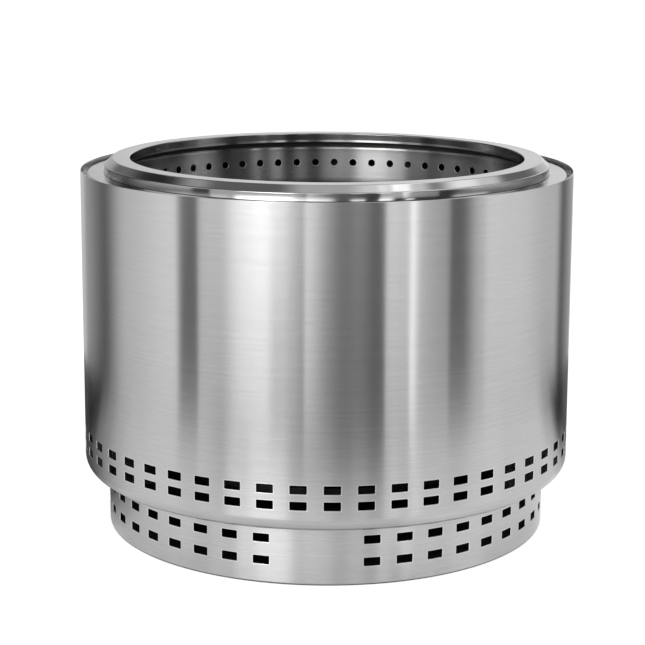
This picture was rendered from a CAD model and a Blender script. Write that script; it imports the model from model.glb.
import math

import bpy
from mathutils import Matrix, Vector
from mathutils.geometry import delaunay_2d_cdt


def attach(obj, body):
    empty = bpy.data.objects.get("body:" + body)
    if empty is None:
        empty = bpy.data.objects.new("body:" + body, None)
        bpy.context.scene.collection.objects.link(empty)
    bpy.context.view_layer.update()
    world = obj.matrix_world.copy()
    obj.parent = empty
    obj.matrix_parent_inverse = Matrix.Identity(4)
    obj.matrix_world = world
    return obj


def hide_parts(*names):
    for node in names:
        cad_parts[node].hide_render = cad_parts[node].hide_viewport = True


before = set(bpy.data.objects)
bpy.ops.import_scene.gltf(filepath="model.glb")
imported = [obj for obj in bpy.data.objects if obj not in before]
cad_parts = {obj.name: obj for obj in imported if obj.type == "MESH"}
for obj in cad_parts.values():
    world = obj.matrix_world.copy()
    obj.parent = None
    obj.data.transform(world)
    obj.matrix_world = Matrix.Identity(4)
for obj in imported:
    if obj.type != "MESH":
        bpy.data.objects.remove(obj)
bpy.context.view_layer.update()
scene = bpy.context.scene
scene.view_settings.view_transform = "Standard"
scene.view_settings.look = "None"
MM = 0.001

# ---------------------------------------------------------------- camera
# the photograph looks at the front, 2.16 degrees round to the right and about 10 degrees down
TURN = math.radians(2.16)
camera_data = bpy.data.cameras.new("camera")
camera = bpy.data.objects.new("camera", camera_data)
scene.collection.objects.link(camera)
camera.matrix_world = (
    Matrix.Translation((0.0680, -1.8019, 0.5978))
    @ Matrix.Rotation(TURN, 4, "Z")
    @ Matrix.Rotation(math.radians(90.0 - 10.37), 4, "X")
    @ Matrix.Rotation(0.00458, 4, "Z")
)
camera_data.sensor_width = 36.0
camera_data.lens = 100.22
camera_data.shift_x = -0.00648
camera_data.shift_y = -0.1
camera_data.clip_start = 0.01
camera_data.clip_end = 200.0
camera_data.dof.use_dof = False
scene.camera = camera


# ---------------------------------------------------------------- node trees
class Tree:
    def __init__(self, owner):
        owner.use_nodes = True
        self.tree = owner.node_tree
        self.tree.nodes.clear()

    def node(self, kind, **settings):
        n = self.tree.nodes.new(kind)
        for key, value in settings.items():
            setattr(n, key, value)
        return n

    def put(self, socket, value):
        if isinstance(value, bpy.types.NodeSocket):
            self.tree.links.new(value, socket)
        else:
            socket.default_value = value

    def math(self, op, *values, clamp=False):
        n = self.node("ShaderNodeMath", operation=op, use_clamp=clamp)
        for i, v in enumerate(values):
            self.put(n.inputs[i], v)
        return n.outputs[0]

    def step(self, value, a, b, lo=0.0, hi=1.0):
        """Smooth step of value from a to b, giving lo to hi."""
        n = self.node("ShaderNodeMapRange", interpolation_type="SMOOTHSTEP")
        self.put(n.inputs["Value"], value)
        n.inputs["From Min"].default_value = a
        n.inputs["From Max"].default_value = b
        n.inputs["To Min"].default_value = lo
        n.inputs["To Max"].default_value = hi
        return n.outputs[0]


# ---------------------------------------------------------------- studio
# soft boxes around the pit: (left edge, right edge, left feather, right feather, level, elevations where it fades out),
# in degrees round from the camera's own direction, towards the right
SOFT_BOXES = (
    (-169.9, -149.0, 9.5, 12.0, 0.25, 18.0, 34.0),
    (-149.0, -133.4, 12.0, 31.9, 0.25, -7.0, 1.0),
    (-172.0, -152.0, 8.0, 8.0, 0.20, 6.0, 22.0),
    (-60.0, -14.7, 0.4, 9.8, 0.52, 24.0, 44.0),
    (-42.8, -25.2, 12.3, 6.0, 0.60, -13.0, -4.0),
    (-15.5, 1.5, 4.7, 13.1, 0.20, 24.0, 44.0),
    (-9.8, -5.3, 0.7, 12.5, 0.49, 24.0, 44.0),
    (-16.8, 18.7, 14.8, 14.4, 0.10, 24.0, 44.0),
    (26.3, 57.0, 0.5, 0.7, 0.31, 5.0, 13.0),
    (26.4, 45.2, 0.6, 24.7, 0.30, 5.0, 13.0),
    (37.8, 40.6, 0.8, 4.3, 0.75, 5.0, 13.0),
    (147.1, 172.7, 20.4, 7.8, 0.22, 20.0, 34.0),
    (166.0, 189.0, 16.0, 8.0, 0.62, 24.0, 44.0),
    (174.5, 184.0, 4.0, 7.0, 0.15, 10.0, 20.0),
)
# boxes at the sides, much dimmer in their upper part
SIDE_BOXES = (
    (-114.2, -70.3, 22.2, 5.0, 0.54),
    (-89.2, -71.2, 34.0, 0.7, 0.22),
    (69.2, 135.6, 10.9, 10.6, 0.48),
    (76.5, 110.1, 3.1, 34.0, 0.21),
)
# lights above those, seen in the chamber and the flame ring; here the elevations are where each one begins
UPPER_BOXES = (
    (-147.0, -136.0, 8.0, 16.0, 0.16, 8.0, 15.0),
    (-112.0, -68.0, 8.0, 6.0, 1.10, 18.0, 28.0),
    (-86.0, -50.0, 20.0, 6.0, 0.36, 3.0, 12.0),
    (-46.0, -19.0, 6.0, 8.0, 3.00, 4.0, 13.0),
    (-35.0, -17.0, 6.0, 5.0, 2.60, 6.0, 14.0),
    (-19.0, 3.0, 4.0, 6.0, 1.10, 4.0, 13.0),
    (12.0, 19.0, 3.0, 2.0, 1.10, 7.0, 14.0),
    (26.0, 33.0, 1.5, 4.0, 1.70, 5.0, 13.0),
    (40.0, 44.5, 2.0, 2.0, 2.80, 12.0, 20.0),
    (66.0, 88.0, 5.0, 5.0, 0.60, 3.0, 12.0),
    (82.0, 118.0, 8.0, 6.0, 1.00, 18.0, 28.0),
    (127.0, 151.0, 8.0, 8.0, 0.12, 8.0, 14.0),
    (149.0, 168.0, 6.0, 6.0, 0.40, -5.0, 3.0),
)
# strips hung overhead, running front to back: (left edge, right edge, feather, level), in heights to the right
STRIPS = (
    (-0.90, 0.50, 0.10, 0.14),
    (-0.82, -0.66, 0.10, 0.30),
    (-0.18, 0.34, 0.16, 0.43),
    (0.16, 0.34, 0.12, 0.36),
    (0.275, 0.335, 0.02, 0.40),
    (0.345, 0.44, 0.03, 1.40),
    (0.43, 0.54, 0.06, 0.66),
    (0.50, 1.60, 0.08, 0.22),
    (0.635, 1.04, 0.08, 0.60),
    (0.69, 0.84, 0.08, 0.46),
)

world = bpy.data.worlds.new("studio")
scene.world = world
w = Tree(world)
direction = w.node("ShaderNodeTexCoord").outputs["Generated"]
split = w.node("ShaderNodeSeparateXYZ")
w.put(split.inputs[0], direction)
azimuth = w.math("DEGREES", w.math("ARCTAN2", split.outputs[0], w.math("MULTIPLY", split.outputs[1], -1.0)))
azimuth = w.math("SUBTRACT", azimuth, math.degrees(TURN))
elevation = w.math("DEGREES", w.math("ARCSINE", split.outputs[2]))


def soft_box(left, right, fl, fr, power):
    mid, half = (left + right) / 2.0, (right - left) / 2.0
    off = w.math("WRAP", w.math("SUBTRACT", azimuth, mid), 180.0, -180.0)
    inside = w.math(
        "MULTIPLY",
        w.step(off, -half - fl / 2.0, -half + fl / 2.0),
        w.step(off, half + fr / 2.0, half - fr / 2.0),
    )
    return w.math("MULTIPLY", inside, power)


level = w.step(elevation, -9.0, 2.0, 0.094, 0.02)
for box in SOFT_BOXES:
    level = w.math("MULTIPLY_ADD", soft_box(*box[:5]), w.step(elevation, box[6], box[5]), level)
side = w.step(elevation, -9.0, 6.0, 1.01, 0.25)
for box in SIDE_BOXES:
    level = w.math("MULTIPLY_ADD", soft_box(*box), side, level)
for box in UPPER_BOXES:
    level = w.math("MULTIPLY_ADD", soft_box(*box[:5]), w.step(elevation, box[5], box[6]), level)
# the boxes end above; over them hang the strips
sides = w.math("MULTIPLY", level, w.step(elevation, 44.0, 24.0))
height = w.math("MAXIMUM", split.outputs[2], 0.05)
right_of = w.math("DIVIDE", split.outputs[0], height)
along = w.math("DIVIDE", split.outputs[1], height)
strips = None
for left, right, feather, power in STRIPS:
    half = feather / 2.0
    inside = w.math(
        "MULTIPLY",
        w.step(right_of, left - half, left + half),
        w.step(right_of, right + half, right - half),
    )
    part = w.math("MULTIPLY", inside, power)
    strips = part if strips is None else w.math("ADD", strips, part)
strips = w.math("MULTIPLY", strips, w.math("MULTIPLY", w.step(along, 1.25, 0.65), w.step(along, -0.9, -0.3, 0.3, 1.0)))
strips = w.math("MULTIPLY", strips, w.step(elevation, 26.0, 40.0))
total = w.math("ADD", w.math("ADD", sides, strips), 0.02)
studio = w.node("ShaderNodeBackground")
studio.inputs["Color"].default_value = (1.0, 1.0, 0.998, 1.0)
w.put(studio.inputs["Strength"], total)
plain = w.node("ShaderNodeBackground")
plain.inputs["Color"].default_value = (1.0, 1.0, 1.0, 1.0)
plain.inputs["Strength"].default_value = 1.0
mix = w.node("ShaderNodeMixShader")
w.put(mix.inputs[0], w.node("ShaderNodeLightPath").outputs["Is Camera Ray"])
w.put(mix.inputs[1], studio.outputs[0])
w.put(mix.inputs[2], plain.outputs[0])
w.put(w.node("ShaderNodeOutputWorld").inputs["Surface"], mix.outputs[0])
world.cycles_visibility.diffuse = False
world.cycles.sampling_method = "MANUAL"
world.cycles.sample_map_resolution = 2048

# soft overhead light for the floor only
sky_data = bpy.data.lights.new("overhead", "SUN")
sky_data.energy = 1.2
sky_data.angle = math.radians(130.0)
sky = bpy.data.objects.new("overhead", sky_data)
sky.rotation_euler = (math.radians(6.0), math.radians(8.0), 0.0)
sky.visible_glossy = False
scene.collection.objects.link(sky)


# ---------------------------------------------------------------- shells
def around(r, z, a):
    """Point at radius r and height z, a radians round from the front towards the right, in metres."""
    return (r * MM * math.sin(a), -r * MM * math.cos(a), z * MM)


def section(points, edge=0.28, step=11.0):
    """Rounds the corners of a closed section in millimetres. points: (r, z) or (r, z, radius); a corner with no radius is a
    cut edge and gets a fine break, or stays a smooth point where the line hardly turns. Returns
    (r, z, nr, nz, cut, bend) round the section, with the solid on the left."""
    pts = [tuple(p) for p in points]
    area = sum(pts[i - 1][0] * p[1] - p[0] * pts[i - 1][1] for i, p in enumerate(pts))
    if area < 0:
        pts.reverse()
    n, out = len(pts), []
    for i, p in enumerate(pts):
        a, b, c = pts[i - 1], p, pts[(i + 1) % n]
        la, lc = math.hypot(b[0] - a[0], b[1] - a[1]), math.hypot(c[0] - b[0], c[1] - b[1])
        d1 = ((b[0] - a[0]) / la, (b[1] - a[1]) / la)
        d2 = ((c[0] - b[0]) / lc, (c[1] - b[1]) / lc)
        n1, n2 = (d1[1], -d1[0]), (d2[1], -d2[0])
        turn = math.atan2(d1[0] * d2[1] - d1[1] * d2[0], d1[0] * d2[0] + d1[1] * d2[1])
        if b[0] < 1e-6:
            flat = n2 if c[0] > 1e-6 else n1
            out.append((0.0, b[1], flat[0], flat[1], 0.0, 0.0))
            continue
        given = len(b) > 2
        if abs(turn) < 0.06 and not given:
            even_n = math.hypot(n1[0] + n2[0], n1[1] + n2[1])
            out.append((b[0], b[1], (n1[0] + n2[0]) / even_n, (n1[1] + n2[1]) / even_n, 0.0, 0.0))
            continue
        t = math.tan(abs(turn) / 2.0)
        rad = b[2] if given else edge
        if not given:
            rad = min(rad, 0.45 * min(la, lc) / t)
        sign = 1.0 if turn > 0 else -1.0
        start = (b[0] - d1[0] * rad * t, b[1] - d1[1] * rad * t)
        centre = (start[0] - n1[0] * rad * sign, start[1] - n1[1] * rad * sign)
        count = max(3 if given else 2, math.ceil(math.degrees(abs(turn)) / (step if given else 30.0)))
        for k in range(count + 1):
            g = turn * k / count
            m = (n1[0] * math.cos(g) - n1[1] * math.sin(g), n1[0] * math.sin(g) + n1[1] * math.cos(g))
            out.append((centre[0] + m[0] * rad * sign, centre[1] + m[1] * rad * sign, m[0], m[1],
                        0.0 if given else 1.0, 1.0 if given and rad < 6.0 else 0.0))
    return out


def slot_outline(width, height, corner, nu, nv, k=2):
    """Rounded rectangle, from the top left corner round clockwise, as (s, t, inward s, inward t) for an offset o."""

    def at(o):
        a, b, q = width / 2.0 + o, height / 2.0 + o, corner + o
        centres = ((-a + q, b - q), (a - q, b - q), (a - q, -b + q), (-a + q, -b + q))
        pts = []
        for side, count in enumerate((nu, nv, nu, nv)):
            c0, c1 = centres[side], centres[(side + 1) % 4]
            face = 90.0 - 90.0 * side
            for i in range(count):
                if i < k:
                    g, c = face + 45.0 * (1.0 - i / k), c0
                elif i <= count - k:
                    f = (i - k) / (count - 2 * k)
                    g, c = face, (c0[0] + (c1[0] - c0[0]) * f, c0[1] + (c1[1] - c0[1]) * f)
                else:
                    g, c = face - 45.0 * (i - count + k) / k, c1
                g = math.radians(g)
                pts.append((c[0] + q * math.cos(g), c[1] + q * math.sin(g), -math.cos(g), -math.sin(g)))
        return pts

    return at


def round_outline(diameter, nu, nv):
    def at(o):
        r, pts = diameter / 2.0 + o, []
        for side, count in enumerate((nu, nv, nu, nv)):
            for i in range(count):
                g = math.radians(135.0 - 90.0 * side - 90.0 * i / count)
                pts.append((r * math.cos(g), r * math.sin(g), -math.cos(g), -math.sin(g)))
        return pts

    return at


class Mesh:
    def __init__(self):
        self.co, self.no, self.cut, self.bend, self.dull, self.faces = [], [], [], [], [], []

    def vert(self, co, no, cut=0.0, bend=0.0, dull=0.0):
        self.co.append(co)
        self.no.append(no)
        self.cut.append(cut)
        self.bend.append(bend)
        self.dull.append(dull)
        return len(self.co) - 1

    def strip(self, a, b):
        """Closed band of quads from loop a to loop b."""
        n = len(a)
        for i in range(n):
            self.faces.append((a[i], b[i], b[(i + 1) % n], a[(i + 1) % n]))

    def lathe(self, prof, angles, skip=(), dull=None):
        """Solid of revolution. skip holds pairs of end points, in millimetres, of straight runs that are left open. dull
        gives how dark the sheet is at a point (r, z, nr, nz) of the section."""
        n, m = len(prof), len(angles)
        rows = []
        for r, z, nr, nz, cut, bend in prof:
            row = []
            for a in angles:
                s, c = math.sin(a), math.cos(a)
                row.append(self.vert(around(r, z, a), (nr * s, -nr * c, nz), cut, bend, dull(r, z, nr, nz) if dull else 0.0))
            rows.append(row)

        def is_open(p, q):
            for e, f in skip:
                if math.hypot(p[0] - e[0], p[1] - e[1]) + math.hypot(q[0] - f[0], q[1] - f[1]) < 1e-4:
                    return True
            return False

        for i in range(n):
            p, q = prof[i], prof[(i + 1) % n]
            if (p[0] < 1e-6 and q[0] < 1e-6) or is_open(p, q) or is_open(q, p):
                continue
            u, v = rows[i], rows[(i + 1) % n]
            for j in range(m):
                self.faces.append((u[j], u[(j + 1) % m], v[(j + 1) % m], v[j]))

    def pierced(self, outer, inner, angles, cells, rows, nv, edge=0.3, halo=0.9, dull=(0.0, 0.0)):
        """Wall between two straight lines, each (foot, head), with a hole in each cell and row. cells: (first angle's
        index, count, centre angle) with count equal to the outline's nu, or centre None for a plain cell. rows: (t0, t1,
        outline, t centre) in millimetres up the outer line. edge: how far the cut is broken; halo: how far the bright rim
        of the cut reaches beyond that; dull: how dark the outer and inner faces are."""
        (r0, z0), (r1, z1) = outer
        (q0, y0), (q1, y1) = inner
        length = math.hypot(r1 - r0, z1 - z0)
        line = ((r1 - r0) / length, (z1 - z0) / length)
        face = (line[1], -line[0])
        thick = abs((q0 - r0) * face[0] + (y0 - z0) * face[1])

        def rz(t, d):
            f, g = t / length, d / thick
            r, z = r0 + (r1 - r0) * f, z0 + (z1 - z0) * f
            return r + (q0 + (q1 - q0) * f - r) * g, z + (y0 + (y1 - y0) * f - z) * g

        def at(t, d, a, no):
            r, z = rz(t, d)
            return self.vert(around(r, z, a), no, 0.0, 0.0, dull[0] if d < thick / 2.0 else dull[1])

        def normal(a, sign):
            return (sign * face[0] * math.sin(a), -sign * face[0] * math.cos(a), sign * face[1])

        total = len(angles)
        for first, count, centre in cells:
            stations = [angles[(first + i) % total] for i in range(count + 1)]
            for t0, t1, outline, tc in rows:
                levels = [t0 + (t1 - t0) * i / nv for i in range(nv + 1)]
                if centre is None:
                    for d, sign in ((0.0, 1.0), (thick, -1.0)):
                        grid = [[at(t, d, a, normal(a, sign)) for a in stations] for t in levels]
                        for i in range(nv):
                            for j in range(count):
                                quad = (grid[i][j], grid[i][j + 1], grid[i + 1][j + 1], grid[i + 1][j])
                                self.faces.append(quad if sign > 0 else quad[::-1])
                    continue
                rect = [(t1, a) for a in stations[:-1]]
                rect += [(t, stations[-1]) for t in levels[:0:-1]]
                rect += [(t0, a) for a in stations[:0:-1]]
                rect += [(t, stations[0]) for t in levels[:-1]]
                loops = [[at(t, 0.0, a, normal(a, 1.0)) for t, a in rect]]
                sc, cc = math.sin(centre), math.cos(centre)

                def rim(d, sign, dark):
                    loop = []
                    for s, t, _, _ in outline(edge + halo):
                        r, z = rz(t + tc, d)
                        a = centre + math.asin(s / r)
                        loop.append(self.vert(around(r, z, a), normal(a, sign), 0.0, 0.0, dark))
                    loops.append(loop)

                rim(0.0, 1.0, dull[0])
                for depth_side in (1.0, -1.0):
                    for g in (0.0, 45.0, 90.0) if depth_side > 0 else (90.0, 45.0, 0.0):
                        g = math.radians(g)
                        o, d = edge * (1.0 - math.sin(g)), edge * (1.0 - math.cos(g))
                        if depth_side < 0:
                            d = thick - d
                        loop = []
                        for s, t, hs, ht in outline(o):
                            t += tc
                            r, z = rz(t, d)
                            a = centre + math.asin(s / r)
                            hole = (hs * cc + ht * line[0] * sc, hs * sc - ht * line[0] * cc, ht * line[1])
                            fn = normal(a, depth_side)
                            k, m = math.cos(g), math.sin(g)
                            no = tuple(fn[x] * k + hole[x] * m for x in range(3))
                            loop.append(self.vert(around(r, z, a), no, 1.0, 0.0, dull[0] if d < thick / 2.0 else dull[1]))
                        loops.append(loop)
                rim(thick, -1.0, dull[1])
                loops.append([at(t, thick, a, normal(a, -1.0)) for t, a in rect])
                for a, b in zip(loops, loops[1:]):
                    self.strip(a, b)

    def plate(self, top, bottom, border, holes, edge=0.3):
        """Flat plate inside a round border (a list of angles and a radius), with holes. holes: (x, y, outline)."""
        angles, radius = border
        flat = [Vector(around(radius, 0.0, a)[:2]) for a in angles]
        m = len(flat)
        edges = [(i, (i + 1) % m) for i in range(m)]
        stacks, marks = [], []
        for hx, hy, outline in holes:
            first, ring = len(flat), outline(edge)
            for s, t, _, _ in ring:
                flat.append(Vector(((hx + s) * MM, (hy + t) * MM)))
            count = len(ring)
            edges += [(first + i, first + (i + 1) % count) for i in range(count)]
            marks.append((first, count))
            loops = []
            for sign, level in ((1.0, top), (-1.0, bottom)):
                for g in (0.0, 45.0, 90.0) if sign > 0 else (90.0, 45.0, 0.0):
                    g = math.radians(g)
                    o, d = edge * (1.0 - math.sin(g)), edge * (1.0 - math.cos(g))
                    loops.append([
                        self.vert(((hx + s) * MM, (hy + t) * MM, (level - sign * d) * MM),
                                  (hs * math.sin(g), ht * math.sin(g), sign * math.cos(g)), 0.0 if g < 0.1 else 1.0)
                        for s, t, hs, ht in outline(o)])
            for a, b in zip(loops, loops[1:]):
                self.strip(a, b)
            stacks.append(loops)
        verts, _, tris, _, _, _ = delaunay_2d_cdt(flat, edges, [], 0, 1e-9)
        polys = []
        for first, count in marks:
            polys.append([flat[first + i] for i in range(count)])
        boxes = [(min(p.x for p in q), max(p.x for p in q), min(p.y for p in q), max(p.y for p in q)) for q in polys]

        def inside(x, y, poly):
            hit, j = False, len(poly) - 1
            for i, p in enumerate(poly):
                q = poly[j]
                if (p.y > y) != (q.y > y) and x < (q.x - p.x) * (y - p.y) / (q.y - p.y) + p.x:
                    hit = not hit
                j = i
            return hit

        up = [self.vert((v.x, v.y, top * MM), (0.0, 0.0, 1.0)) for v in verts]
        down = [self.vert((v.x, v.y, bottom * MM), (0.0, 0.0, -1.0)) for v in verts]
        for tri in tris:
            x = sum(verts[i].x for i in tri) / 3.0
            y = sum(verts[i].y for i in tri) / 3.0
            if any(b[0] < x < b[1] and b[2] < y < b[3] and inside(x, y, q) for b, q in zip(boxes, polys)):
                continue
            if sum(verts[tri[i - 1]].cross(verts[tri[i]]) for i in range(3)) < 0:
                tri = tri[::-1]
            self.faces.append(tuple(up[i] for i in tri))
            self.faces.append(tuple(down[i] for i in reversed(tri)))

    def piece(self, name, body, node, material):
        """Welds shared points, makes the object, and lets it stand for its CAD node."""
        seen, to, co, no, cut, bend, dull = {}, [], [], [], [], [], []
        for i, p in enumerate(self.co):
            key = (round(p[0] * 2e6), round(p[1] * 2e6), round(p[2] * 2e6))
            if key not in seen:
                seen[key] = len(co)
                co.append(p)
                no.append(Vector(self.no[i]))
                cut.append(self.cut[i])
                bend.append(self.bend[i])
                dull.append(self.dull[i])
            else:
                no[seen[key]] += Vector(self.no[i])
            to.append(seen[key])
        faces = []
        for f in self.faces:
            g = []
            for i in f:
                if not g or to[i] != g[-1]:
                    g.append(to[i])
            if len(g) > 1 and g[0] == g[-1]:
                g.pop()
            if len(set(g)) == len(g) > 2:
                faces.append(g)
        used = sorted(set(i for f in faces for i in f))
        new = {old: i for i, old in enumerate(used)}
        mesh = bpy.data.meshes.new(name)
        mesh.from_pydata([co[i] for i in used], [], [[new[i] for i in f] for f in faces])
        mesh.polygons.foreach_set("use_smooth", [True] * len(mesh.polygons))
        mesh.normals_split_custom_set_from_vertices([no[i].normalized() for i in used])
        for label, values in (("cut", cut), ("bend", bend), ("dull", dull)):
            layer = mesh.attributes.new(label, "FLOAT", "POINT")
            layer.data.foreach_set("value", [values[i] for i in used])
        mesh.materials.append(material)
        obj = bpy.data.objects.new(name, mesh)
        scene.collection.objects.link(obj)
        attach(obj, body)
        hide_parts(node)
        return obj


def even(count, start=0.0):
    return [start + 2.0 * math.pi * i / count for i in range(count)]


# ---------------------------------------------------------------- materials
def steel(name, base, rough, aniso=0.0, lines=0.06, line_scale=900.0, rough_lines=0.05, cloud=0.03, bump=0.00001,
          ring=True, smudge=0.03, cut_bright=0.22, speck=0.0):
    """Stainless sheet. Fine brush lines run round the axis (ring) or along X; clouding, smudges, worn bends and bright cut
    edges vary colour, roughness and height."""
    material = bpy.data.materials.new(name)
    m = Tree(material)
    coord = m.node("ShaderNodeTexCoord").outputs["Object"]
    xyz = m.node("ShaderNodeSeparateXYZ")
    m.put(xyz.inputs[0], coord)
    x, y, z = xyz.outputs
    flat = m.node("ShaderNodeCombineXYZ")
    m.put(flat.inputs[0], x)
    m.put(flat.inputs[1], y)
    radius = m.node("ShaderNodeVectorMath", operation="LENGTH")
    m.put(radius.inputs[0], flat.outputs[0])
    radius = radius.outputs["Value"]

    def streaks(scale, along, detail):
        """Noise drawn out along the brushing."""
        vector = m.node("ShaderNodeCombineXYZ")
        noise = m.node("ShaderNodeTexNoise", noise_dimensions="4D")
        if ring:
            m.put(vector.inputs[0], m.math("MULTIPLY", x, along))
            m.put(vector.inputs[1], m.math("MULTIPLY", y, along))
            m.put(vector.inputs[2], m.math("MULTIPLY", z, scale))
            m.put(noise.inputs["W"], m.math("MULTIPLY", radius, scale))
        else:
            m.put(vector.inputs[0], m.math("MULTIPLY", x, along))
            m.put(vector.inputs[1], m.math("MULTIPLY", y, scale))
            m.put(vector.inputs[2], m.math("MULTIPLY", z, scale))
        m.put(noise.inputs["Vector"], vector.outputs[0])
        noise.inputs["Scale"].default_value = 1.0
        noise.inputs["Detail"].default_value = detail
        noise.inputs["Roughness"].default_value = 0.6
        return m.math("SUBTRACT", noise.outputs[0], 0.5)

    def cloudy(scale, detail, seed):
        noise = m.node("ShaderNodeTexNoise", noise_dimensions="4D")
        m.put(noise.inputs["Vector"], coord)
        noise.inputs["W"].default_value = seed
        noise.inputs["Scale"].default_value = scale
        noise.inputs["Detail"].default_value = detail
        noise.inputs["Roughness"].default_value = 0.55
        return m.math("SUBTRACT", noise.outputs[0], 0.5)

    fine = streaks(line_scale, 11.0, 2.0)
    broad = streaks(line_scale * 0.16, 4.0, 1.0)
    hair = streaks(line_scale * 2.2, 90.0, 1.0)
    haze = cloudy(8.0, 3.0, 3.7)
    marks = cloudy(38.0, 4.0, 9.1)
    cut = m.node("ShaderNodeAttribute", attribute_name="cut").outputs["Fac"]
    bend = m.node("ShaderNodeAttribute", attribute_name="bend").outputs["Fac"]
    dull = m.node("ShaderNodeAttribute", attribute_name="dull").outputs["Fac"]

    shade = m.math("MULTIPLY_ADD", fine, lines * 2.0, 1.0)
    shade = m.math("MULTIPLY_ADD", broad, lines * 0.3, shade)
    shade = m.math("MULTIPLY_ADD", hair, lines * 1.8, shade)
    shade = m.math("MULTIPLY_ADD", haze, cloud * 2.0, shade)
    if speck:
        spots = m.step(cloudy(260.0, 2.0, 5.3), 0.20, 0.30)
        shade = m.math("MULTIPLY_ADD", spots, -speck, shade)
    worn = m.math("MULTIPLY", bend, m.step(marks, -0.12, 0.14))
    shade = m.math("MULTIPLY_ADD", worn, 0.05, shade)
    shade = m.math("MULTIPLY_ADD", cut, cut_bright, shade)
    shade = m.math("MULTIPLY", shade, m.math("MULTIPLY_ADD", dull, -0.80, 1.0))
    colour = m.node("ShaderNodeVectorMath", operation="SCALE")
    colour.inputs[0].default_value = base
    m.put(colour.inputs["Scale"], shade)

    r = m.math("MULTIPLY_ADD", fine, rough_lines * 1.6, rough)
    r = m.math("MULTIPLY_ADD", hair, rough_lines, r)
    r = m.math("MULTIPLY_ADD", haze, smudge * 1.6, r)
    r = m.math("MULTIPLY_ADD", m.step(marks, 0.08, 0.22), smudge * 0.7, r)
    r = m.math("MULTIPLY_ADD", worn, -0.03, r)
    r = m.math("MULTIPLY_ADD", cut, 0.06, r)
    r = m.math("MULTIPLY_ADD", m.math("MULTIPLY", dull, dull), 0.16, r)

    height = m.math("MULTIPLY_ADD", hair, 0.5, fine)
    height = m.math("MULTIPLY", height, m.math("SUBTRACT", 1.0, cut))
    bumps = m.node("ShaderNodeBump")
    bumps.inputs["Strength"].default_value = 1.0
    bumps.inputs["Distance"].default_value = bump
    m.put(bumps.inputs["Height"], height)

    shader = m.node("ShaderNodeBsdfPrincipled")
    shader.inputs["Metallic"].default_value = 1.0
    m.put(shader.inputs["Base Color"], colour.outputs[0])
    m.put(shader.inputs["Roughness"], r)
    m.put(shader.inputs["Normal"], bumps.outputs[0])
    if aniso:
        shader.inputs["Anisotropic"].default_value = aniso
        shader.inputs["Anisotropic Rotation"].default_value = 0.25
        tangent = m.node("ShaderNodeTangent", direction_type="RADIAL", axis="Z")
        m.put(shader.inputs["Tangent"], tangent.outputs[0])
    m.put(m.node("ShaderNodeOutputMaterial").inputs["Surface"], shader.outputs[0])
    return material


wall_steel = steel("brushed_wall", (0.560, 0.560, 0.559), 0.140, aniso=1.0, lines=0.08, line_scale=650.0, rough_lines=0.009,
                   cloud=0.02, bump=0.0000008, cut_bright=0.42, smudge=0.015)
stand_steel = steel("brushed_stand", (0.560, 0.560, 0.559), 0.175, aniso=1.0, lines=0.08, line_scale=650.0, rough_lines=0.012,
                    cloud=0.02, bump=0.0000012, cut_bright=0.42)
top_steel = steel("satin_top", (0.575, 0.575, 0.574), 0.120, aniso=0.85, lines=0.02, line_scale=900.0, rough_lines=0.02,
                  cloud=0.02, bump=0.0000015)
deck_steel = steel("satin_deck", (0.570, 0.570, 0.569), 0.16, aniso=0.85, lines=0.02, line_scale=900.0, rough_lines=0.02,
                   cloud=0.02, bump=0.0000015)
chamber_steel = steel("chamber_sheet", (0.520, 0.520, 0.518), 0.25, aniso=1.0, lines=0.035, line_scale=650.0, rough_lines=0.03,
                      cloud=0.03, bump=0.000002)
floor_steel = steel("chamber_floor_sheet", (0.240, 0.239, 0.237), 0.28, aniso=0.5, lines=0.03, line_scale=700.0, cloud=0.05,
                    bump=0.000004)
pan_steel = steel("pan_sheet", (0.260, 0.259, 0.257), 0.28, aniso=0.5, lines=0.03, line_scale=700.0, cloud=0.05, smudge=0.05,
                  bump=0.000004)
grate_steel = steel("grate_plate", (0.250, 0.249, 0.247), 0.32, aniso=0.0, lines=0.05, line_scale=600.0, ring=False,
                    cloud=0.05, bump=0.000006)
mill_steel = steel("mill_sheet", (0.460, 0.459, 0.456), 0.33, aniso=0.3, lines=0.03, line_scale=700.0, cloud=0.07,
                   smudge=0.06, speck=0.06, bump=0.000006)
bracket_steel = steel("mill_bracket", (0.430, 0.429, 0.426), 0.33, lines=0.04, line_scale=700.0, ring=False, cloud=0.07,
                      smudge=0.06, speck=0.06, bump=0.000006)
fastener_steel = steel("fastener", (0.540, 0.540, 0.538), 0.24, lines=0.05, line_scale=2400.0, ring=False, cloud=0.05,
                       bump=0.000003)
spacer_steel = steel("mill_spacer", (0.160, 0.160, 0.158), 0.40, lines=0.04, line_scale=700.0, ring=False, cloud=0.07,
                     smudge=0.06, speck=0.06, bump=0.000006)
wire_steel = steel("wire", (0.560, 0.560, 0.558), 0.20, lines=0.05, line_scale=2600.0, ring=False, cloud=0.05,
                   bump=0.000003)


def inner_side(r, z, nr, nz):
    """Dark towards the hidden space: the inside of a shell and the top of its bottom lip."""
    return 1.12 if nr < -0.4 or nz > 0.4 else 0.0


def under_side(r, z, nr, nz):
    return 1.0 if nz < -0.4 else 0.0


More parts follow.
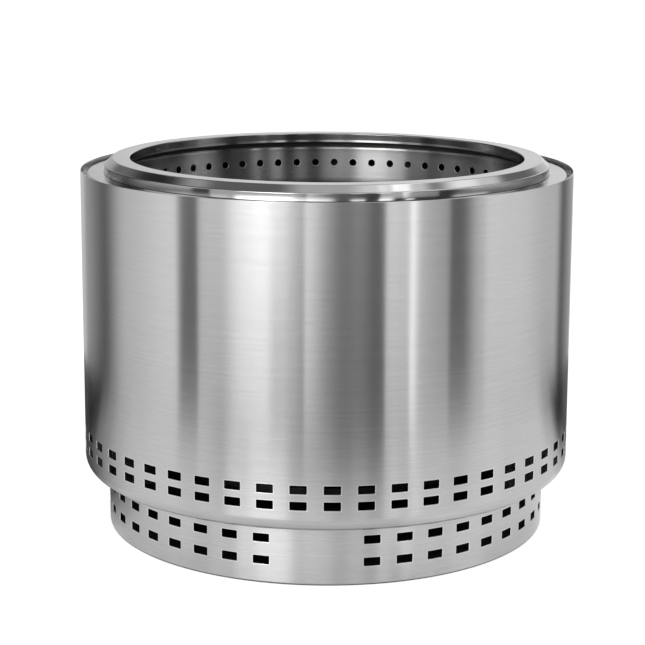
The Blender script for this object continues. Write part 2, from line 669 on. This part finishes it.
# ---------------------------------------------------------------- outer wall and stand
# the wall's 50 slots in each of two rows, and the stand's 42, with a plain panel at the front of the stand
wall_cells, per = 50, 10
wall_angles = even(wall_cells * per)
shell = Mesh()
shell.lathe(
    section([(208.0, 58.0), (247.5, 58.0, 14.0), (247.5, 76.0), (247.5, 108.0), (247.5, 362.3), (246.5, 362.3),
             (246.5, 350.0), (246.5, 348.0), (246.5, 108.0), (246.5, 76.0), (246.5, 59.0, 13.0), (208.0, 59.0)], step=5.0),
    wall_angles,
    skip=[((247.5, 76.0), (247.5, 108.0)), ((246.5, 108.0), (246.5, 76.0))],
    dull=lambda r, z, nr, nz: inner_side(r, z, nr, nz) if z < 349.0 else 0.0)
slot = slot_outline(15.6, 8.0, 0.6, per, 8)
shell.pierced(((247.5, 76.0), (247.5, 108.0)), ((246.5, 76.0), (246.5, 108.0)), wall_angles,
              [(per * i, per, math.radians(7.2 * (i + 0.5))) for i in range(wall_cells)],
              [(0.0, 16.0, slot, 8.4), (16.0, 32.0, slot, 23.6)], 8, edge=0.4, dull=(0.0, 1.12))
shell.piece("outer_wall_shell", "fire_pit_body", "outer_wall", wall_steel)

slots, gap = 42, 26.7
pitch = (360.0 - gap) / (slots - 1)
first = gap / 2.0 - pitch / 2.0
stand_angles = [math.radians(first + pitch * i / per) for i in range(slots * per)]
panel = 22
stand_angles += [math.radians(first + pitch * slots + (360.0 - pitch * slots) * i / panel) for i in range(panel)]
band = Mesh()
band.lathe(
    section([(214.5, 0.0), (223.5, 0.0, 2.4), (223.5, 13.0), (223.5, 53.0), (223.5, 57.9), (222.5, 57.9),
             (222.5, 53.0), (222.5, 13.0), (222.5, 1.0, 1.4), (214.5, 1.0)]),
    stand_angles,
    skip=[((223.5, 13.0), (223.5, 53.0)), ((222.5, 53.0), (222.5, 13.0))],
    dull=inner_side)
stand_slot = slot_outline(15.6, 8.0, 0.6, per, 8)
plain_cells = [(slots * per, panel, None)]
band.pierced(((223.5, 13.0), (223.5, 53.0)), ((222.5, 13.0), (222.5, 53.0)), stand_angles,
             [(per * i, per, math.radians(gap / 2.0 + pitch * i)) for i in range(slots)] + plain_cells,
             [(0.0, 20.0, stand_slot, 9.6), (20.0, 40.0, stand_slot, 31.0)], 8, edge=0.4, dull=(0.0, 1.0))
band.piece("stand_band_shell", "stand", "stand_band", stand_steel)

seat = Mesh()
seat.lathe(section([(204.0, 56.8), (221.35, 56.8, 0.6), (221.35, 50.0), (222.35, 50.0), (222.35, 57.8, 1.6), (204.0, 57.8)]),
           even(360), dull=lambda r, z, nr, nz: 0.7)
seat.piece("stand_seat_shell", "stand", "stand_seat_ring", mill_steel)

foot = Mesh()
foot.lathe(section([(188.0, 58.0), (201.0, 58.0, 0.6), (201.0, 46.0), (202.0, 46.0), (202.0, 59.0, 1.6), (188.0, 59.0)]),
           even(360), dull=lambda r, z, nr, nz: 0.7)
foot.piece("foot_ring_shell", "fire_pit_body", "foot_ring", mill_steel)

# ---------------------------------------------------------------- deck, flame ring, collar
deck = Mesh()
deck.lathe(
    section([(217.9, 344.0), (218.9, 344.0), (218.9, 358.4, 1.2), (240.3, 358.4, 1.2), (240.3, 351.4, 2.0),
             (245.3, 351.4, 0.6), (245.3, 343.4), (246.3, 343.4), (246.3, 352.4, 1.6), (241.3, 352.4, 1.0),
             (241.3, 359.4, 2.2), (217.9, 359.4, 2.2)]),
    even(480), dull=under_side)
deck.piece("top_deck_pressing", "fire_pit_body", "top_deck", deck_steel)

flame = Mesh()
flame.lathe(
    section([(223.2, 359.5), (224.4, 359.5, 0.35), (223.95, 361.5, 16.0), (223.65, 363.5, 30.0), (223.47, 365.4, 30.0),
             (223.4, 367.3, 1.25), (222.1, 367.5, 0.4), (216.0, 373.6, 2.0),
             (198.1, 373.6, 1.4), (197.9, 366.2, 6.0), (197.5, 363.4, 0.5), (199.2, 363.4, 0.5), (199.1, 365.4, 0.8),
             (199.3, 372.4, 0.4), (215.6, 372.4, 0.8), (221.6, 366.3), (222.3, 366.1, 0.3)]),
    even(480), dull=lambda r, z, nr, nz: 1.0 if nz < -0.4 else 0.5 if nr < -0.8 else 0.0)
flame.piece("flame_ring_pressing", "flame_ring", "flame_ring", top_steel)

collar = Mesh()
collar.lathe(
    section([(216.2, 356.6), (217.2, 356.6), (217.2, 362.0, 0.6), (222.55, 362.0), (222.55, 363.0), (216.2, 363.0, 1.4)]),
    even(360), dull=lambda r, z, nr, nz: 1.0)
collar.piece("flame_ring_collar_shell", "flame_ring", "flame_ring_collar", mill_steel)

# ---------------------------------------------------------------- fire chamber
holes, per_hole = 64, 8
liner_angles = even(holes * per_hole, -math.pi / holes)
liner = Mesh()
# the sheet leans back a little through the row of holes and flares at its cut edge
liner.lathe(
    section([(216.5, 119.1), (217.5, 119.1), (217.4, 240.0), (216.5, 316.0), (216.65, 322.0), (216.9, 330.6), (217.5, 346.6),
             (217.6, 355.9), (216.95, 355.9, 0.3), (216.5, 353.8, 1.5), (216.5, 346.6), (215.9, 330.6), (215.65, 322.0),
             (215.5, 316.0), (216.3, 240.0)]),
    liner_angles,
    skip=[((216.9, 330.6), (217.5, 346.6)), ((216.5, 346.6), (215.9, 330.6))],
    dull=lambda r, z, nr, nz: 1.12 if nr > 0.4 else 0.95 if z < 318.0 else 0.0)
liner.pierced(((216.9, 330.6), (217.5, 346.6)), ((215.9, 330.6), (216.5, 346.6)), liner_angles,
              [(per_hole * i, per_hole, 2.0 * math.pi * i / holes) for i in range(holes)],
              [(0.0, math.hypot(16.0, 0.6), round_outline(7.6, per_hole, 8), 8.0)], 8, edge=0.4, halo=0.7, dull=(1.12, 0.0))
liner.piece("inner_wall_liner", "fire_pit_body", "inner_wall", chamber_steel)

shelf = Mesh()
shelf.lathe(
    section([(218.7, 118.0, 1.5), (218.7, 133.0), (217.7, 133.0), (217.7, 119.0), (209.5, 119.0, 1.5), (207.0, 121.5, 1.5),
             (201.0, 121.5, 1.5), (198.5, 119.0, 1.5), (165.0, 119.0, 1.8), (165.0, 111.0), (166.0, 111.0),
             (166.0, 118.0, 0.8), (198.9, 118.0, 1.5), (201.4, 120.5, 1.0), (206.6, 120.5, 1.0), (209.1, 118.0, 1.5)]),
    even(400), dull=under_side)
shelf.piece("chamber_floor_shelf", "fire_pit_body", "chamber_floor", floor_steel)

pan = Mesh()
pan.lathe(
    section([(0.0, 61.1), (164.0, 61.1, 3.0), (168.0, 59.1, 3.0), (229.0, 59.1), (229.0, 60.1), (168.4, 60.1, 2.0),
             (164.4, 62.1, 4.0), (0.0, 62.1)]),
    even(360), dull=lambda r, z, nr, nz: 1.0 if nz > 0.4 else 0.5)
pan.piece("bottom_pan_plate", "fire_pit_body", "bottom_pan", mill_steel)

shield = Mesh()
shield.lathe(section([(0.0, 70.0), (176.0, 70.0, 3.0), (176.0, 79.0), (175.0, 79.0), (175.0, 71.0, 2.0), (0.0, 71.0)]), even(360),
             dull=lambda r, z, nr, nz: 0.9)
shield.piece("heat_shield_plate", "fire_pit_body", "heat_shield", mill_steel)

# ---------------------------------------------------------------- ash pan and grate
pan_holes, per_pan = 30, 12
dish_angles = even(pan_holes * per_pan, -math.pi / pan_holes)


def slope_out(z):
    return (136.0 + 18.0 * (z - 84.0) / 29.5, z)


def slope_in(z):
    return (135.4 + 17.6 * (z - 85.0) / 29.5, z)


dish = Mesh()
dish.lathe(
    section([(0.0, 84.0), (136.0, 84.0, 6.0), slope_out(94.5), slope_out(108.5), (154.0, 113.5, 1.0), (162.0, 113.5, 1.8),
             (162.0, 119.1, 0.5), (192.0, 119.1), (192.0, 120.1), (161.0, 120.1, 1.2), (161.0, 114.5, 0.8),
             (153.0, 114.5, 1.8), slope_in(109.0), slope_in(95.0), (135.4, 85.0, 5.0), (0.0, 85.0)]),
    dish_angles, dull=lambda r, z, nr, nz: 0.9 if nz < -0.4 or nr > 0.7 else 0.0,
    skip=[(slope_out(94.5), slope_out(108.5)), (slope_in(109.0), slope_in(95.0))])
run = math.hypot(slope_out(108.5)[0] - slope_out(94.5)[0], 14.0)
dish.pierced((slope_out(94.5), slope_out(108.5)), (slope_in(95.0), slope_in(109.0)), dish_angles,
             [(per_pan * i, per_pan, 2.0 * math.pi * i / pan_holes) for i in range(pan_holes)],
             [(0.0, run, round_outline(8.0, per_pan, 8), run * (102.0 - 94.5) / 14.0)], 8, dull=(0.9, 0.0))
dish.piece("ash_pan_dish", "ash_pan", "ash_pan", pan_steel)

grate_angles = even(360)
grate = Mesh()
grate.lathe(
    section([(0.0, 116.1), (154.0, 116.1), (158.0, 116.1, 0.6), (158.0, 114.6), (159.6, 114.6), (159.6, 117.7, 2.0),
             (154.0, 117.7), (0.0, 117.7)]),
    grate_angles,
    skip=[((0.0, 116.1), (154.0, 116.1)), ((154.0, 117.7), (0.0, 117.7))])
small = round_outline(10.0, 6, 6)


def oval_outline(o):
    """Long round hole along X."""
    w, l, pts = 12.0 + o, 10.0, []
    for side in (1.0, -1.0):
        for i in range(19):
            g = math.radians(90.0 - 10.0 * i) if side > 0 else math.radians(-90.0 - 10.0 * i)
            pts.append((side * l + w * math.cos(g), w * math.sin(g), -math.cos(g), -math.sin(g)))
    return pts


grate_holes = [(0.0, 0.0, small), (0.0, 118.0, oval_outline), (0.0, -118.0, oval_outline)]
for k, (r, n) in enumerate(((25.0, 6), (47.0, 12), (69.0, 18), (92.0, 24), (118.0, 30), (143.0, 36))):
    for i in range(n):
        a = math.radians(360.0 / n * (i + (0.5 if k % 2 else 0.0)))
        px, py = r * math.cos(a), r * math.sin(a)
        if abs(abs(py) - 118.0) < 20.0 and abs(px) < 30.0:
            continue
        grate_holes.append((px, py, small))
grate.plate(117.7, 116.1, (grate_angles, 154.0), grate_holes)
grate.piece("fire_grate_plate", "fire_grate", "fire_grate", grate_steel)

# ---------------------------------------------------------------- pieces kept from the frame
KEPT = {
    "ash_pan_clips": pan_steel,
    "ash_pan_rivets": fastener_steel,
    "left_ring_handle": wire_steel,
    "right_ring_handle": wire_steel,
    "chamber_supports": bracket_steel,
    "wall_spacers": spacer_steel,
    "shield_spacers": fastener_steel,
    "shield_studs": fastener_steel,
    "shield_washers": fastener_steel,
    "shield_nuts": fastener_steel,
}
for node, material in KEPT.items():
    for material_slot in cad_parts[node].material_slots:
        material_slot.material = material

# ---------------------------------------------------------------- floor
# what the camera sees: a white table, with a soft shade at the foot of the stand
table_material = bpy.data.materials.new("pale_floor")
f = Tree(table_material)
place = f.node("ShaderNodeTexCoord").outputs["Object"]
grain = f.node("ShaderNodeTexNoise")
f.put(grain.inputs["Vector"], place)
grain.inputs["Scale"].default_value = 3.0
reach = f.node("ShaderNodeVectorMath", operation="LENGTH")
f.put(reach.inputs[0], place)
paint = f.node("ShaderNodeBsdfDiffuse")
tone = f.node("ShaderNodeVectorMath", operation="SCALE")
tone.inputs[0].default_value = (0.905, 0.905, 0.905)
f.put(tone.inputs["Scale"], f.math("MULTIPLY_ADD", grain.outputs[0], 0.01, f.step(reach.outputs["Value"], 0.2190, 0.2240, 0.20, 0.99)))
f.put(paint.inputs["Color"], tone.outputs[0])
glow = f.node("ShaderNodeEmission")
f.put(glow.inputs["Strength"], f.step(reach.outputs["Value"], 0.2190, 0.2240, 0.0, 0.79))
both = f.node("ShaderNodeAddShader")
f.put(both.inputs[0], paint.outputs[0])
f.put(both.inputs[1], glow.outputs[0])
f.put(f.node("ShaderNodeOutputMaterial").inputs["Surface"], both.outputs[0])

# what the steel sees: the lit part of the table, which shines a little and fades out all round
sheen_material = bpy.data.materials.new("lit_floor")
f = Tree(sheen_material)
shine = f.node("ShaderNodeBsdfPrincipled")
shine.inputs["Base Color"].default_value = (0.0, 0.0, 0.0, 1.0)
shine.inputs["Roughness"].default_value = 0.18
shine.inputs["IOR"].default_value = 1.45
shine.inputs["Specular IOR Level"].default_value = 0.12
shine.inputs["Emission Color"].default_value = (1.0, 1.0, 1.0, 1.0)
f.put(shine.inputs["Emission Strength"], f.node("ShaderNodeAttribute", attribute_name="glow").outputs["Fac"])
f.put(f.node("ShaderNodeOutputMaterial").inputs["Surface"], shine.outputs[0])

# light on the table: (degrees round from the camera's own direction, towards the right, level close to the stand, level
# further out, reach in metres)
POOL = ((-180, 0.50, 0.50, 0.80), (-150, 0.38, 0.45, 0.70), (-143, 0.16, 0.20, 0.55), (-135, 0.05, 0.08, 0.45), (-122, 0.03, 0.05, 0.60),
        (-114, 0.04, 0.10, 0.75), (-108, 0.05, 0.28, 0.95), (-100, 0.10, 0.42, 1.10), (-92, 0.28, 0.62, 1.15),
        (-82, 0.52, 0.80, 1.15), (-70, 0.80, 0.88, 1.12), (-50, 0.85, 0.87, 1.05), (-38, 0.80, 0.80, 0.90),
        (-30, 0.84, 0.84, 0.88), (-15, 0.82, 0.82, 0.86), (-6, 0.78, 0.80, 0.84), (18, 0.76, 0.80, 0.80),
        (26, 0.92, 0.92, 0.95), (33, 0.94, 0.94, 1.00), (42, 0.92, 0.92, 1.10), (50, 0.88, 0.90, 1.10),
        (96, 0.86, 0.90, 1.12), (106, 0.62, 0.72, 0.90), (117, 0.34, 0.42, 0.60), (135, 0.08, 0.12, 0.45),
        (150, 0.32, 0.45, 0.70), (180, 0.50, 0.50, 0.80))


def smooth(u):
    u = min(max(u, 0.0), 1.0)
    return u * u * (3.0 - 2.0 * u)


def pool(angle, r):
    """Brightness of the table at an angle and radius."""
    if r < 0.2238:
        return 0.01
    d = (math.degrees(angle) - math.degrees(TURN) + 180.0) % 360.0 - 180.0
    for (a, *p), (b, *q) in zip(POOL, POOL[1:]):
        if a <= d <= b:
            u = smooth((d - a) / (b - a))
            near, far, far_edge = (i + (j - i) * u for i, j in zip(p, q))
            break
    level = near + (far - near) * smooth((r - 0.34) / 0.18)
    rise = min((r - 0.2238) / 0.07, 1.0)
    return level * (0.80 + 0.20 * rise) * (1.0 - smooth((r / far_edge - 0.55) / 0.45))


def floor_piece(name, radii, material, count=180):
    """Flat disc made of rings."""
    verts, faces = [(0.0, 0.0, 0.0)], []
    for r in radii:
        verts += [(r * math.sin(a), -r * math.cos(a), 0.0) for a in even(count)]
    faces += [(0, 1 + i, 1 + (i + 1) % count) for i in range(count)]
    for k in range(len(radii) - 1):
        u, v = 1 + k * count, 1 + (k + 1) * count
        faces += [(u + i, v + i, v + (i + 1) % count, u + (i + 1) % count) for i in range(count)]
    mesh = bpy.data.meshes.new(name)
    mesh.from_pydata(verts, [], faces)
    mesh.materials.append(material)
    layer = mesh.attributes.new("glow", "FLOAT", "POINT")
    layer.data.foreach_set("value", [pool(math.atan2(v[0], -v[1]), math.hypot(v[0], v[1])) for v in verts])
    obj = bpy.data.objects.new(name, mesh)
    scene.collection.objects.link(obj)
    return obj


table = floor_piece("floor", (1.0, 5.0, 40.0), table_material)
table.visible_glossy = False
lit = floor_piece("floor_lit", (0.15, 0.2237, 0.2239, 0.25, 0.30, 0.36, 0.42, 0.48, 0.54, 0.60, 0.66, 0.72, 0.80), sheen_material)
lit.visible_camera = False
lit.visible_diffuse = False
lit.visible_shadow = False
